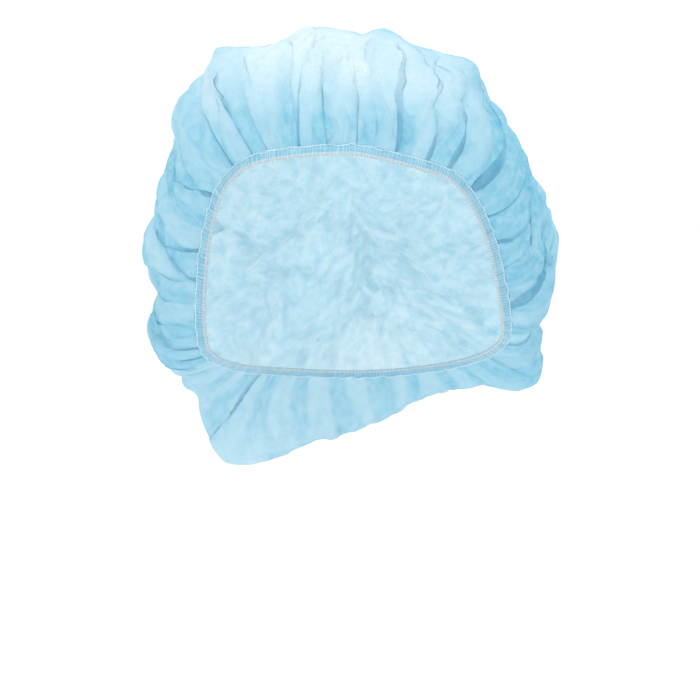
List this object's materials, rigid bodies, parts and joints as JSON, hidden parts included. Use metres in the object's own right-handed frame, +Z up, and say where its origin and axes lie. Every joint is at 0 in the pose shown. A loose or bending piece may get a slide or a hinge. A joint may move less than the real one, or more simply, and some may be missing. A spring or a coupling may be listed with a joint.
{
  "type": "disposable bouffant cap",
  "caption": "Worn disposable bouffant cap of thin gathered nonwoven cloth, puffed over the head, with a folded hem and a white elastic round the face opening.",
  "frame": {"origin": "middle of the elastic loop, halfway between its forehead edge and its nape edge, where the head sits", "axes": "+Z up on a level head, the face opening looks along -Y, +X is to the right as seen from in front"},
  "size_m": [0.2097, 0.2055, 0.2186],
  "materials": {
    "nonwoven_cloth": "matt, thin, lets light through",
    "folded_hem": "matt, two layers, overlocked",
    "white_elastic": "matt, thread covered"
  },
  "bodies": {
    "root": {"crown": "nonwoven_cloth", "hem_band": "folded_hem", "elastic": "white_elastic"}
  },
  "joints": []
}
